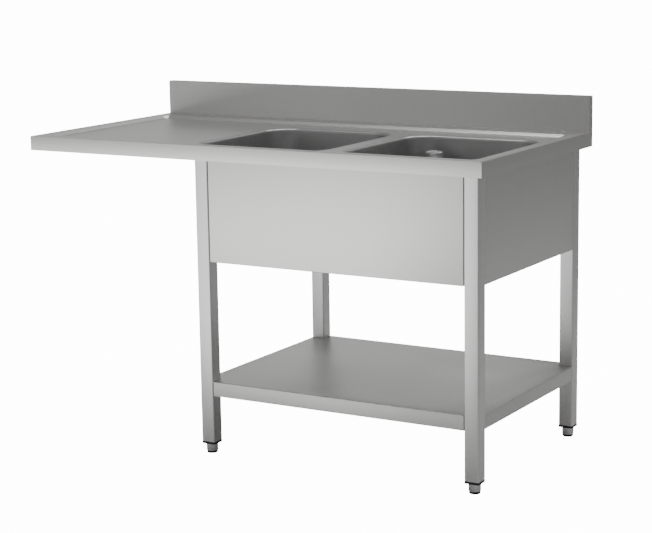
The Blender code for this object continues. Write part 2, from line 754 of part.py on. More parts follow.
def foot(corner, centre):
    """A turned foot on a threaded stem, with a sole pad. It screws down out of the leg along Z."""
    top = TUBE_BOTTOM - INSERT_FLANGE - 2 * GAP
    bottom = PAD_THICKNESS + GAP
    profile = (
        (0, bottom + STEM_LENGTH),
        (STEM_RADIUS, bottom + STEM_LENGTH),
        (STEM_RADIUS, top),
        (FOOT_RADIUS - FOOT_BEVEL, top),
        (FOOT_RADIUS, top - FOOT_BEVEL),
        (FOOT_RADIUS, bottom + FOOT_BEVEL),
        (FOOT_RADIUS - FOOT_BEVEL / 2, bottom),
        (0, bottom),
    )
    turned(f"{corner}_foot", profile, FOOT_STEEL, centre, steps=FOOT_STEPS)
    pad = FOOT_RADIUS - PAD_INSET
    profile = (
        (0, PAD_THICKNESS),
        (pad, PAD_THICKNESS),
        (pad, PAD_INSET),
        (pad - PAD_INSET, 0),
        (0, 0),
    )
    turned(f"{corner}_foot_pad", profile, BLACK_PLASTIC, centre, steps=FOOT_STEPS)


# ---- apron panels -------------------------------------------------------------------------
def drill_sheet(obj, sheet):
    for name, place, direction, radius in HOLES.get(sheet, []):
        drill(obj, f"{name}_sheet_hole", place, direction, radius, PANEL_FLANGE / 2)


def panel(name, length, height, place, outward):
    """A folded panel, open at its back and its top. outward is the way its face looks."""
    bm = box(length, PANEL_FLANGE, height)
    drop_faces(bm, (0, 1, 0), (0, 0, 1))
    obj = add_object(name, bm, APRON_STEEL, place)
    obj.rotation_euler.z = Vector((0, -1)).angle_signed(Vector(outward)) * -1
    bevel(obj, PANEL_FOLD_RADIUS)
    solidify(obj, PANEL_SHEET)
    drill_sheet(obj, name)


def apron():
    inset_line = PANEL_INSET + PANEL_FLANGE / 2
    long_side = FRAME_LENGTH - 2 * (LEG_SIZE + PANEL_SEAM)
    short_side = FRAME_DEPTH - 2 * (LEG_SIZE + PANEL_SEAM)
    height = LEG_TOP - APRON_BOTTOM
    level = APRON_BOTTOM + height / 2
    front = Vector((FRAME_CENTRE.x, FRAME_FRONT + inset_line, level))
    panel("front_panel", long_side, height, front, (0, -1))
    rear_level = LEG_TOP - REAR_PANEL_HEIGHT / 2
    rear = Vector((FRAME_CENTRE.x, FRAME_REAR - inset_line, rear_level))
    panel("rear_panel", long_side, REAR_PANEL_HEIGHT, rear, (0, 1))
    # The left end stays open, because the left bowl stands out past the left legs.
    right = Vector((FRAME_RIGHT - inset_line, FRAME_CENTRE.y, level))
    panel("right_panel", short_side, height, right, (1, 0))


# ---- shelf --------------------------------------------------------------------------------
def shelf():
    """A folded tray, open below, notched round the legs, and the channel that stiffens it."""
    length = FRAME_LENGTH - 2 * PANEL_INSET
    depth = FRAME_DEPTH - 2 * PANEL_INSET
    bm = box(length, depth, SHELF_EDGE)
    notch = LEG_SIZE - PANEL_INSET + SHELF_SEAM
    for sign in (-1, 1):
        for axis, half in ((0, length / 2), (1, depth / 2)):
            normal = [0, 0, 0]
            normal[axis] = 1
            place = [0, 0, 0]
            place[axis] = sign * (half - notch)
            bmesh.ops.bisect_plane(
                bm,
                geom=bm.verts[:] + bm.edges[:] + bm.faces[:],
                plane_co=place,
                plane_no=normal,
            )
    cells = bm.faces[:]
    # The lid of the tray: the cells of the top, without the four corners.
    bmesh.ops.delete(
        bm,
        geom=[
            face
            for face in cells
            if face.normal.z < 0.5
            or (
                abs(face.calc_center_median().x) > length / 2 - notch
                and abs(face.calc_center_median().y) > depth / 2 - notch
            )
        ],
        context="FACES",
    )
    rim = [edge for edge in bm.edges if edge.is_boundary]
    made = bmesh.ops.extrude_edge_only(bm, edges=rim)["geom"]
    moved = [item for item in made if isinstance(item, bmesh.types.BMVert)]
    bmesh.ops.translate(bm, vec=(0, 0, -SHELF_EDGE), verts=moved)
    bmesh.ops.recalc_face_normals(bm, faces=bm.faces)
    top = max(bm.faces, key=lambda face: face.calc_center_median().z)
    if top.normal.z < 0:
        bmesh.ops.reverse_faces(bm, faces=bm.faces)
    level = SHELF_HEIGHT - SHELF_EDGE / 2
    obj = add_object("shelf", bm, SHELF_STEEL, (FRAME_CENTRE.x, FRAME_CENTRE.y, level))
    bevel(obj, PANEL_FOLD_RADIUS)
    solidify(obj, SHELF_SHEET)
    drill_sheet(obj, "shelf")

    run = length - 2 * (SHELF_SHEET + STIFFENER_END_CLEARANCE)
    bm = box(run, STIFFENER_WIDTH, STIFFENER_HEIGHT)
    drop_faces(bm, (1, 0, 0), (-1, 0, 0), (0, 0, -1))
    level = SHELF_HEIGHT - SHELF_SHEET - GAP - STIFFENER_HEIGHT / 2
    place = (FRAME_CENTRE.x, FRAME_CENTRE.y, level)
    channel = add_object("shelf_stiffener", bm, RAIL_STEEL, place)
    bevel(channel, PANEL_FOLD_RADIUS)
    solidify(channel, SHELF_SHEET)


# ---- the unit -----------------------------------------------------------------------------
# Holes that the legs' screws need in the sheets they clamp, by the sheet's name.
HOLES = {}

worktop()
for bowl_side in BOWL_CENTRES:
    bowl(bowl_side)
    waste_fitting(bowl_side)
standpipe("right")
rails()
for leg_name, sides in LEGS.items():
    leg(leg_name, *sides)
apron()
shelf()

for part in PARTS.objects:
    part.data.shade_smooth()
    part.data.set_sharp_from_angle(angle=math.radians(30))
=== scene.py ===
"""Catering sink unit: the finished sheet metal, bowls, fittings, feet and fasteners, built round the
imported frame, and the plain studio it stands in.

Metres, +Z up. The floor is at z 0, the drainboard is at -X and the upstand is at +Y.
"""

import json
import math
from contextlib import contextmanager

import bmesh
import bpy
from bpy.props import FloatProperty, FloatVectorProperty, PointerProperty
from mathutils import Matrix, Vector


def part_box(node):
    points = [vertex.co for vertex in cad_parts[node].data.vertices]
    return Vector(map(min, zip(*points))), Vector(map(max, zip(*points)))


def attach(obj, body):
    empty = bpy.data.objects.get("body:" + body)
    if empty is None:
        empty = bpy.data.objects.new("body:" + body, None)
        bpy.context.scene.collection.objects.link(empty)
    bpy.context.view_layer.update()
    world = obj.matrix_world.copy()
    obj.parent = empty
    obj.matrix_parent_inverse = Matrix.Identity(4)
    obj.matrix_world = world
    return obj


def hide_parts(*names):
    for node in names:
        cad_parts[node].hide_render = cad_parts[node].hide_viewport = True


bl_info = {
    "name": "Catering sink unit",
    "version": (1, 0, 0),
    "blender": (4, 5, 0),
    "location": "View3D > Sidebar > Sink",
    "description": "Builds a stainless catering sink with an overhanging drainboard",
    "category": "Add Mesh",
}

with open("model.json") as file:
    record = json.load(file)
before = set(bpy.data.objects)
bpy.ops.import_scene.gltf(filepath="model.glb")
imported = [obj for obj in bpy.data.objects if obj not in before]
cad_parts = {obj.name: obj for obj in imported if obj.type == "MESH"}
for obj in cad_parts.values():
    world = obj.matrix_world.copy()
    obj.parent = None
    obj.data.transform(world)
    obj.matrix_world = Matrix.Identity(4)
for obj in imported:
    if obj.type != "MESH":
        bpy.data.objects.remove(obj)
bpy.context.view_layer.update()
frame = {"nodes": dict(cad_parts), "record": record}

CORNERS = ("front_left", "front_right", "rear_left", "rear_right")
UP = Vector((0, 0, 1))
SMOOTH_ANGLE = math.radians(32)
HAIR = 0.00001  # how near two places count as one
GAP = 0.0003  # between pieces that are welded, seated or screwed together
BOWL_CORNER_SEGMENTS = 16

# fittings
WASTE_WALL = 0.0036
WASTE_FLANGE_THICKNESS = 0.002
WASTE_SEAT_DEPTH = 0.018
WASTE_SEAT_TAPER = 0.0015
WASTE_POCKET_CLEARANCE = 0.0012
WASTE_THREAD_PITCH = 0.002
WASTE_THREAD_DEPTH = 0.0006
MOUTH_ROUND = 0.0012
PLUG_COLLAR_HEIGHT = 0.006
PLUG_WALL = 0.0042
PLUG_RIBS = 4
PLUG_RIB_DEPTH = 0.0010

# feet
STEM_RADIUS = 0.006
STEM_CHAMFER = 0.0012
STEM_THREAD_DEPTH = 0.00085
STEM_THREAD_CLEARANCE = 0.0002
FOOT_ROUND = 0.0022

# sheets and screws
SHELF_SEAM = 0.001
SHEET_HOLE_DEPTH = 0.004
LEG_HOLE_DEPTH = 0.008
HEAD_FLAT = 0.45  # the flat of a screw's head, as a share of the head
HEAD_RIM = 0.0006
SCREWS = {
    "shelf_bolt": {"shank": 0.003, "length": 0.009, "head": 0.0055, "head_height": 0.0035},
    "panel_screw": {"shank": 0.002, "length": 0.007, "head": 0.004, "head_height": 0.0022},
    "socket_screw": {"shank": 0.004, "length": 0.0042, "head": 0.0065, "head_height": 0.003},
}

# camera
CAMERA_AIM = Vector((0.0552, -0.0086, 0.4814))
SENSOR_WIDTH_MM = 36


# ---- sizes and finishes that a user would change ------------------------------------------
def length(name, description, default):
    return FloatProperty(name=name, description=description, default=default, min=0, unit="LENGTH")


def share(name, description, default):
    return FloatProperty(
        name=name, description=description, default=default, min=0, max=1, subtype="FACTOR"
    )


def colour(name, description, default):
    return FloatVectorProperty(
        name=name, description=description, default=default, min=0, max=1, size=3, subtype="COLOR"
    )


class SinkSizes(bpy.types.PropertyGroup):
    """Sizes of the sheet metal, the bowls and the fittings"""

    edge_height: length("Edge height", "Height of the worktop's folded edges", 0.040)
    edge_return: length("Edge return", "Width of the lip under the edges", 0.010)
    upstand: length("Upstand thickness", "Depth of the upstand, front to back", 0.022)
    worktop_sheet: length("Worktop sheet", "Thickness of the worktop's sheet", 0.0012)
    worktop_fold: length("Worktop fold", "Outside radius of the worktop's folds", 0.0024)
    border: length("Border", "Width of the raised border round the recessed field", 0.032)
    ledge: length("Tap ledge", "Width of the raised ledge before the upstand", 0.068)
    recess: length("Recess", "How far the field lies below the border", 0.008)
    recess_slope: length("Recess slope", "Width of the slope round the field", 0.006)
    recess_corner: length("Recess corner", "Radius of the field's corners", 0.018)
    bowl_flange: length("Bowl flange", "Width of the bowl's flange below the worktop", 0.006)
    bowl_land: length("Bowl land", "Width of the flat ring welded into the worktop", 0.003)
    bowl_corner: length("Bowl corner", "Radius of the bowl's upright corners at the rim", 0.080)
    bowl_rim: length("Bowl rim", "Radius of the roll from the worktop into the bowl", 0.008)
    bowl_floor: length("Bowl floor fillet", "Radius between the bowl's walls and floor", 0.030)
    bowl_sheet: length("Bowl sheet", "Thickness of the bowl's sheet", 0.001)
    bowl_fall: length("Bowl fall", "How far the floor falls to the waste", 0.006)
    bowl_depth: length("Bowl depth", "From the bowl's flange to its floor", 0.250)
    pocket: length("Waste pocket", "Depth of the pocket that holds the waste's flange", 0.0026)
    waste_bore: length("Waste bore", "Radius of the waste's bore", 0.020)
    tube_wall: length("Tube wall", "Wall of the legs and rails", 0.0015)
    tube_corner: length("Tube corner", "Outside corner radius of the legs and rails", 0.003)
    panel_sheet: length("Panel sheet", "Thickness of the apron's sheet", 0.001)
    panel_fold: length("Panel fold", "Outside radius of the apron's and shelf's folds", 0.0018)
    pipe_wall: length("Standpipe wall", "Wall of the standpipe", 0.0012)
    pipe_lip: length("Standpipe lip", "Width of the standpipe's rolled mouth", 0.0045)
    thread_pitch: length("Thread pitch", "Pitch of the feet's stems", 0.00175)


class SinkFinishes(bpy.types.PropertyGroup):
    """Colours and gloss of the unit's materials"""

    worktop_colour: colour("Worktop", "Tint of the worktop's steel", (0.60, 0.60, 0.595))
    bowl_colour: colour("Bowls", "Tint of the drawn bowls", (0.46, 0.46, 0.455))
    apron_colour: colour("Apron", "Tint of the apron's steel", (0.62, 0.62, 0.615))
    leg_colour: colour("Legs", "Tint of the legs' steel", (0.62, 0.62, 0.612))
    shelf_colour: colour("Shelf", "Tint of the shelf's steel", (0.58, 0.58, 0.575))
    rail_colour: colour("Rails", "Tint of the frame under the worktop", (0.48, 0.48, 0.475))
    polished_colour: colour("Polished", "Tint of the polished fittings", (0.80, 0.80, 0.79))
    foot_colour: colour("Feet", "Tint of the turned feet", (0.62, 0.62, 0.61))
    screw_colour: colour("Screws", "Tint of the screws", (0.55, 0.55, 0.54))
    plastic_colour: colour("Plastic", "Colour of the moulded plastic", (0.018, 0.018, 0.019))
    rubber_colour: colour("Rubber", "Colour of the seals and the plug", (0.026, 0.025, 0.024))
    satin: share("Satin roughness", "Roughness of the brushed sheets", 0.17)
    bowl_satin: share("Bowl roughness", "Roughness of the drawn bowls", 0.18)
    shelf_satin: share("Shelf roughness", "Roughness of the shelf", 0.10)
    polish: share("Polish roughness", "Roughness of the polished fittings", 0.07)


class SinkStage(bpy.types.PropertyGroup):
    """The studio: camera, lights and floor"""

    azimuth: FloatProperty(
        name="Camera azimuth",
        description="Angle of the camera to the right of straight ahead",
        default=math.radians(30.62),
        subtype="ANGLE",
    )
    elevation: FloatProperty(
        name="Camera elevation",
        description="Angle of the camera above the horizon",
        default=math.radians(10.66),
        subtype="ANGLE",
    )
    roll: FloatProperty(
        name="Camera roll",
        description="Turn of the camera about its own axis",
        default=math.radians(-0.89),
        subtype="ANGLE",
    )
    distance: length("Camera distance", "From the camera to the point it looks at", 5.15)
    lens: FloatProperty(
        name="Lens",
        description="Focal length for a sensor 36 mm wide",
        default=101.8,
        subtype="DISTANCE_CAMERA",
    )
    floor_colour: colour("Floor", "Colour of the floor", (0.80, 0.80, 0.80))
    backdrop: FloatProperty(
        name="Backdrop brightness", description="How bright the studio looks", default=14.0, min=0
    )
    ambient: FloatProperty(
        name="Ambient light", description="Even light from all round", default=0.28, min=0
    )


# ---- modelling by hand, in code -----------------------------------------------------------
def select_only(piece):
    bpy.ops.object.select_all(action="DESELECT")
    piece.select_set(True)
    bpy.context.view_layer.objects.active = piece


def start_piece(name, primitive, scale=(1, 1, 1), **settings):
    """Adds a primitive with nothing else selected, and puts its place into its mesh."""
    bpy.ops.object.select_all(action="DESELECT")
    getattr(bpy.ops.mesh, f"primitive_{primitive}_add")(**settings)
    piece = bpy.context.object
    piece.name = name
    piece.data.name = name
    piece.scale = scale
    bpy.ops.object.transform_apply(location=True, rotation=True, scale=True)
    return piece


def block(name, low, high):
    """A box between two corners."""
    low, high = Vector(low), Vector(high)
    return start_piece(name, "cube", size=1, location=(low + high) / 2, scale=high - low)


@contextmanager
def editing(piece):
    """Edit mode, with everything selected at the start."""
    select_only(piece)
    bpy.ops.object.mode_set(mode="EDIT")
    bpy.ops.mesh.select_mode(type="VERT")
    bpy.ops.mesh.select_all(action="SELECT")
    yield
    bpy.ops.object.mode_set(mode="OBJECT")


def pick(piece, kind, test):
    """Selects only the faces, edges or verts that pass a test."""
    bpy.ops.mesh.select_mode(type={"faces": "FACE", "edges": "EDGE", "verts": "VERT"}[kind])
    bpy.ops.mesh.select_all(action="DESELECT")
    mesh = bmesh.from_edit_mesh(piece.data)
    for item in getattr(mesh, kind):
        if test(item):
            item.select_set(True)
    mesh.select_flush_mode()
    bmesh.update_edit_mesh(piece.data)


def facing(*direction):
    """A test for faces that look along a direction."""
    direction = Vector(direction).normalized()
    return lambda face: face.normal.dot(direction) > 0.99


def middle(item):
    """The middle of a face or an edge."""
    if isinstance(item, bmesh.types.BMFace):
        return item.calc_center_median()
    return (item.verts[0].co + item.verts[1].co) / 2


def is_upright(edge):
    return abs(edge.verts[0].co.z - edge.verts[1].co.z) > 0.9 * edge.calc_length()


def extrude(*offset):
    bpy.ops.mesh.extrude_region_move(TRANSFORM_OT_translate={"value": Vector(offset)})


def inset(thickness, depth=0.0):
    bpy.ops.mesh.inset(thickness=thickness, depth=depth, use_even_offset=True, use_boundary=True)


def bevel(offset, segments=4, affect="EDGES"):
    bpy.ops.mesh.bevel(offset=offset, segments=segments, profile=0.5, affect=affect)


def modify(piece, kind, **settings):
    """Adds a modifier and applies it."""
    modifier = piece.modifiers.new(kind.title(), kind)
    for name, value in settings.items():
        setattr(modifier, name, value)
    select_only(piece)
    bpy.ops.object.modifier_apply(modifier=modifier.name)


def round_folds(piece, radius, segments=4):
    modify(
        piece,
        "BEVEL",
        limit_method="ANGLE",
        angle_limit=math.radians(30),
        width=radius,
        segments=segments,
        use_clamp_overlap=True,
    )


def thicken(piece, sheet):
    """Gives an open surface its wall, on the side away from its normals."""
    modify(
        piece,
        "SOLIDIFY",
        thickness=sheet,
        offset=-1,
        use_even_offset=True,
        use_quality_normals=True,
    )


def cut(piece, cutter):
    modify(piece, "BOOLEAN", operation="DIFFERENCE", object=cutter)
    bpy.data.objects.remove(cutter, do_unlink=True)


def turn_matrix(direction):
    """The rotation that takes +Z to a direction."""
    return UP.rotation_difference(Vector(direction)).to_matrix().to_4x4()


def drill(piece, centre, direction, radius, depth, sides=24):
    """Cuts a round or many-sided hole with its middle at centre."""
    cutter = start_piece(
        "cutter",
        "cylinder",
        vertices=sides,
        radius=radius,
        depth=depth,
        location=centre,
        rotation=turn_matrix(direction).to_euler(),
    )
    cut(piece, cutter)


def arc(centre, radius, start, end, steps):
    """Points (radius, height) of an arc; the angles are in degrees from the outward direction."""
    for step in range(steps + 1):
        angle = math.radians(start + (end - start) * step / steps)
        yield (centre[0] + radius * math.cos(angle), centre[1] + radius * math.sin(angle))


def turned(name, axis_point, outline, steps=64):
    """Spins an outline of (radius, height) points about the upright axis through a point."""
    axis_point = Vector(axis_point)
    piece = start_piece(name, "plane", size=1)
    with editing(piece):
        bpy.ops.mesh.merge(type="CENTER")
        last = None
        for radius, height in outline:
            point = axis_point + Vector((radius, 0, height))
            if last is None:
                bpy.ops.transform.translate(value=point)
            else:
                extrude(*(point - last))
            last = point
        bpy.ops.mesh.select_all(action="SELECT")
        bpy.ops.mesh.spin(steps=steps, angle=math.tau, center=axis_point, axis=UP)
        close_seams()
    return piece


def close_seams():
    """Merges what meets in a closed shape and points its faces outwards."""
    bpy.ops.mesh.select_all(action="SELECT")
    bpy.ops.mesh.remove_doubles(threshold=HAIR)
    bpy.ops.mesh.normals_make_consistent(inside=False)


def copy_of(master, name, matrix):
    """A copy with its own mesh, moved in its mesh."""
    piece = master.copy()
    piece.data = master.data.copy()
    piece.name = name
    piece.data.name = name
    piece.data.transform(matrix)
    bpy.context.scene.collection.objects.link(piece)
    return piece


def finish(piece, finish_name, body, *nodes):
    """Shades a piece, gives it its material, and lets it stand for its nodes on their body."""
    select_only(piece)
    bpy.ops.object.shade_smooth_by_angle(angle=SMOOTH_ANGLE)
    piece.data.materials.clear()
    piece.data.materials.append(finish_of(finish_name))
    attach(piece, body)
    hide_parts(*nodes)
    return piece


def body_of(node):
    return next(name for name, nodes in frame["record"]["behaviour"]["bodies"].items() if node in nodes)


def repaint(node, finish_name):
    """Gives a node of the frame that stays as it is its finished material."""
    mesh = frame["nodes"][node].data
    mesh.materials.clear()
    mesh.materials.append(finish_of(finish_name))


# ---- materials ----------------------------------------------------------------------------
class Term:
    """A node's output, on which arithmetic adds Math nodes."""

    def __init__(self, graph, socket):
        self.graph = graph
        self.socket = socket

    def math(self, operation, first, second):
        return self.graph.node("ShaderNodeMath", {"operation": operation}, {0: first, 1: second})

    def __add__(self, other):
        return self.math("ADD", self, other)

    __radd__ = __add__

    def __mul__(self, other):
        return self.math("MULTIPLY", self, other)

    __rmul__ = __mul__

    def __sub__(self, other):
        return self.math("SUBTRACT", self, other)

    def __rsub__(self, other):
        return self.math("SUBTRACT", other, self)


class Graph:
    """A material's nodes, with the Principled shader that they feed."""

    def __init__(self, name):
        self.material = bpy.data.materials.new(name)
        self.material.use_nodes = True
        self.nodes = self.material.node_tree.nodes
        self.links = self.material.node_tree.links
        self.shader = self.nodes["Principled BSDF"]

    def node(self, kind, settings, inputs, output=0):
        """Adds a node; settings come first, then its sockets' values or links."""
        made = self.nodes.new(kind)
        for name, value in settings.items():
            setattr(made, name, value)
        for name, value in inputs.items():
            self.feed(made.inputs[name], value)
        return Term(self, made.outputs[output])

    def feed(self, socket, value):
        if isinstance(value, Term):
            self.links.new(value.socket, socket)
        else:
            socket.default_value = value

    def set(self, **values):
        """Sets or links the shader's own sockets, named with underscores for spaces."""
        for name, value in values.items():
            self.feed(self.shader.inputs[name.replace("_", " ")], value)

    def place(self):
        return self.node("ShaderNodeTexCoord", {}, {}, "Object")

    def noise(self, scale, detail=2.0, stretch=(1, 1, 1), roughness=0.5):
        """Noise from 0 to 1 that changes scale times a metre, more or less along each axis."""
        spot = self.node(
            "ShaderNodeMapping",
            {},
            {"Vector": self.place(), "Scale": [scale * each for each in stretch]},
        )
        return self.node(
            "ShaderNodeTexNoise",
            {},
            {"Vector": spot, "Scale": 1.0, "Detail": detail, "Roughness": roughness},
        )

    def blend(self, dark, light, factor):
        return self.node(
            "ShaderNodeMix",
            {"data_type": "RGBA"},
            {"Factor": factor, 6: (*dark, 1), 7: (*light, 1)},
            2,
        )

    def bump(self, height, distance, strength=1.0):
        bumped = self.node(
            "ShaderNodeBump", {}, {"Height": height, "Distance": distance, "Strength": strength}
        )
        self.set(Normal=bumped)


def tinted(base, gain):
    return [min(1.0, channel * gain) for channel in base]


def sheet_steel(name, base, roughness, along, contrast=1.0):
    """Brushed sheet: fine streaks along the grain, broader bands, and a faint unevenness."""
    graph = Graph(name)
    fine = graph.noise(1400, detail=2, stretch=[0.006 if axis == along else 1 for axis in "XYZ"])
    bands = graph.noise(190, detail=3, stretch=[0.010 if axis == along else 1 for axis in "XYZ"])
    clouds = graph.noise(3.2, detail=3, roughness=0.6)
    smears = graph.noise(16, detail=4, roughness=0.65, stretch=(1, 1, 1.4))
    streaks = fine * 0.6 + bands * 0.4
    graph.set(
        Base_Color=graph.blend(
            tinted(base, 1 - 0.10 * contrast),
            tinted(base, 1 + 0.08 * contrast),
            streaks * 0.75 + clouds * 0.25,
        ),
        Metallic=1.0,
        Roughness=(
            (streaks - 0.5) * (0.10 * contrast)
            + (clouds - 0.5) * 0.06
            + (smears - 0.5) * 0.04
            + roughness
        ),
    )
    graph.bump(streaks, 0.00006, 0.35 * contrast)
    return graph.material


def drawn_steel(name, base, roughness):
    """Deep-drawn and linished steel: rings of fine lines down the walls, a soft mottle below."""
    graph = Graph(name)
    rings = graph.noise(900, detail=2, stretch=(0.004, 0.004, 1))
    mottle = graph.noise(55, detail=4, roughness=0.6)
    clouds = graph.noise(7, detail=2)
    graph.set(
        Base_Color=graph.blend(tinted(base, 0.90), tinted(base, 1.10), rings * 0.5 + clouds * 0.5),
        Metallic=1.0,
        Roughness=(rings - 0.5) * 0.12 + (mottle - 0.5) * 0.06 + (clouds - 0.5) * 0.08 + roughness,
    )
    graph.bump(rings * 0.7 + mottle * 0.3, 0.00008, 0.35)
    return graph.material


def turned_steel(name, base, roughness, contrast=1.0):
    """Lathe-turned or polished steel: fine rings round an upright axis."""
    graph = Graph(name)
    rings = graph.noise(2600, detail=2, stretch=(0.01, 0.01, 1))
    spots = graph.noise(120, detail=3)
    graph.set(
        Base_Color=graph.blend(
            tinted(base, 1 - 0.08 * contrast),
            tinted(base, 1 + 0.05 * contrast),
            rings * 0.6 + spots * 0.4,
        ),
        Metallic=1.0,
        Roughness=(rings - 0.5) * (0.10 * contrast) + (spots - 0.5) * 0.05 + roughness,
    )
    graph.bump(rings, 0.00003, 0.3 * contrast)
    return graph.material


def moulded(name, base, roughness, grain):
    """Plastic or rubber with a fine eroded mould texture."""
    graph = Graph(name)
    texture = graph.noise(1500, detail=2)
    scuffs = graph.noise(180, detail=5, roughness=0.7)
    graph.set(
        Base_Color=graph.blend(tinted(base, 0.8), tinted(base, 1.5), scuffs),
        Roughness=(scuffs - 0.5) * 0.25 + (texture - 0.5) * 0.08 + roughness,
    )
    graph.bump(texture * 0.7 + scuffs * 0.3, grain, 0.6)
    return graph.material


FINISHES = {
    "worktop_steel": lambda f: sheet_steel("worktop_steel", f.worktop_colour, f.satin, "X"),
    "bowl_steel": lambda f: drawn_steel("bowl_steel", f.bowl_colour, f.bowl_satin),
    "apron_steel": lambda f: sheet_steel("apron_steel", f.apron_colour, f.satin + 0.08, "X"),
    "leg_steel": lambda f: sheet_steel("leg_steel", f.leg_colour, f.satin + 0.06, "Z"),
    "shelf_steel": lambda f: sheet_steel("shelf_steel", f.shelf_colour, f.shelf_satin, "X", 0.6),
    "rail_steel": lambda f: sheet_steel("rail_steel", f.rail_colour, f.satin + 0.15, "X"),
    "polished_steel": lambda f: turned_steel("polished_steel", f.polished_colour, f.polish, 0.4),
    "foot_steel": lambda f: turned_steel("foot_steel", f.foot_colour, 0.24),
    "screw_steel": lambda f: turned_steel("screw_steel", f.screw_colour, 0.28),
    "black_plastic": lambda f: moulded("black_plastic", f.plastic_colour, 0.45, 0.00006),
    "black_rubber": lambda f: moulded("black_rubber", f.rubber_colour, 0.62, 0.00010),
}


def finish_of(name):
    """The material of one finish, made the first time that it is asked for."""
    return bpy.data.materials.get(name) or FINISHES[name](bpy.context.scene.sink_finishes)


# ---- worktop ------------------------------------------------------------------------------
def rounded_plate(name, low, high, level, corner, segments):
    """A flat plate with round corners that looks up."""
    centre = Vector(((low.x + high.x) / 2, (low.y + high.y) / 2, level))
    size = (high.x - low.x, high.y - low.y, 1)
    piece = start_piece(name, "plane", size=1, location=centre, scale=size)
    with editing(piece):
        bevel(corner, segments, "VERTICES")
    return piece


def bowl_outline(side, sizes, grow=0.0):
    """The low and high corners of a bowl's outline at its rim, grown outwards by a width."""
    low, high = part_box(f"{side}_bowl")
    step = Vector((1, 1, 0)) * (sizes.bowl_flange - grow)
    return low + step, high - step


def build_worktop(sizes):
    """Folds the worktop out of one sheet, presses its field and opens it for the bowls."""
    low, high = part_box("worktop")
    top = low.z + sizes.edge_height
    upstand_face = high.y - sizes.upstand
    field_rear = upstand_face - sizes.border
    piece = block("worktop_sheet", low, (high.x, high.y, top))
    with editing(piece):
        bpy.ops.mesh.bisect(plane_co=(0, upstand_face, 0), plane_no=(0, 1, 0))
        pick(piece, "faces", lambda f: f.normal.z > 0.5 and middle(f).y > upstand_face)
        extrude(0, 0, high.z - top)
        pick(piece, "faces", facing(0, 0, -1))
        inset(sizes.edge_return)
        bpy.ops.mesh.delete(type="FACE")
        pick(piece, "faces", lambda f: f.normal.z > 0.5 and middle(f).y < upstand_face)
        inset(sizes.border)
        pick(
            piece,
            "verts",
            lambda v: abs(v.co.y - field_rear) < HAIR and abs(v.co.x) < high.x - sizes.border + HAIR,
        )
        bpy.ops.transform.translate(value=(0, sizes.border - sizes.ledge, 0))

        def field_corner(vert):
            from_side = abs(abs(vert.co.x) - (high.x - sizes.border))
            from_front = abs(vert.co.y - (low.y + sizes.border))
            from_rear = abs(vert.co.y - (upstand_face - sizes.ledge))
            return from_side < HAIR and min(from_front, from_rear) < HAIR

        pick(piece, "verts", field_corner)
        bevel(sizes.recess_corner, 8, "VERTICES")
        pick(piece, "faces", lambda f: f.normal.z > 0.5 and f.calc_area() > 0.5)
        inset(sizes.recess_slope, -sizes.recess)
    round_folds(piece, sizes.worktop_fold, 5)
    thicken(piece, sizes.worktop_sheet)
    for side in ("left", "right"):
        outline = bowl_outline(side, sizes, sizes.bowl_land)
        corner = sizes.bowl_corner + sizes.bowl_land
        cutter = rounded_plate("cutter", *outline, low.z, corner, BOWL_CORNER_SEGMENTS)
        with editing(cutter):
            extrude(0, 0, 2 * sizes.edge_height)
            close_seams()
        cut(piece, cutter)
    return finish(piece, "worktop_steel", "unit", "worktop")


# ---- bowls --------------------------------------------------------------------------------
def quarter(radius, segments, start_level):
    """(inward, down) of each step round a quarter bend that starts level or starts upright."""
    for step in range(segments):
        a, b = (math.pi / 2 * each / segments for each in (step, step + 1))
        sines = radius * (math.sin(b) - math.sin(a))
        cosines = radius * (math.cos(a) - math.cos(b))
        yield (sines, cosines) if start_level else (cosines, sines)


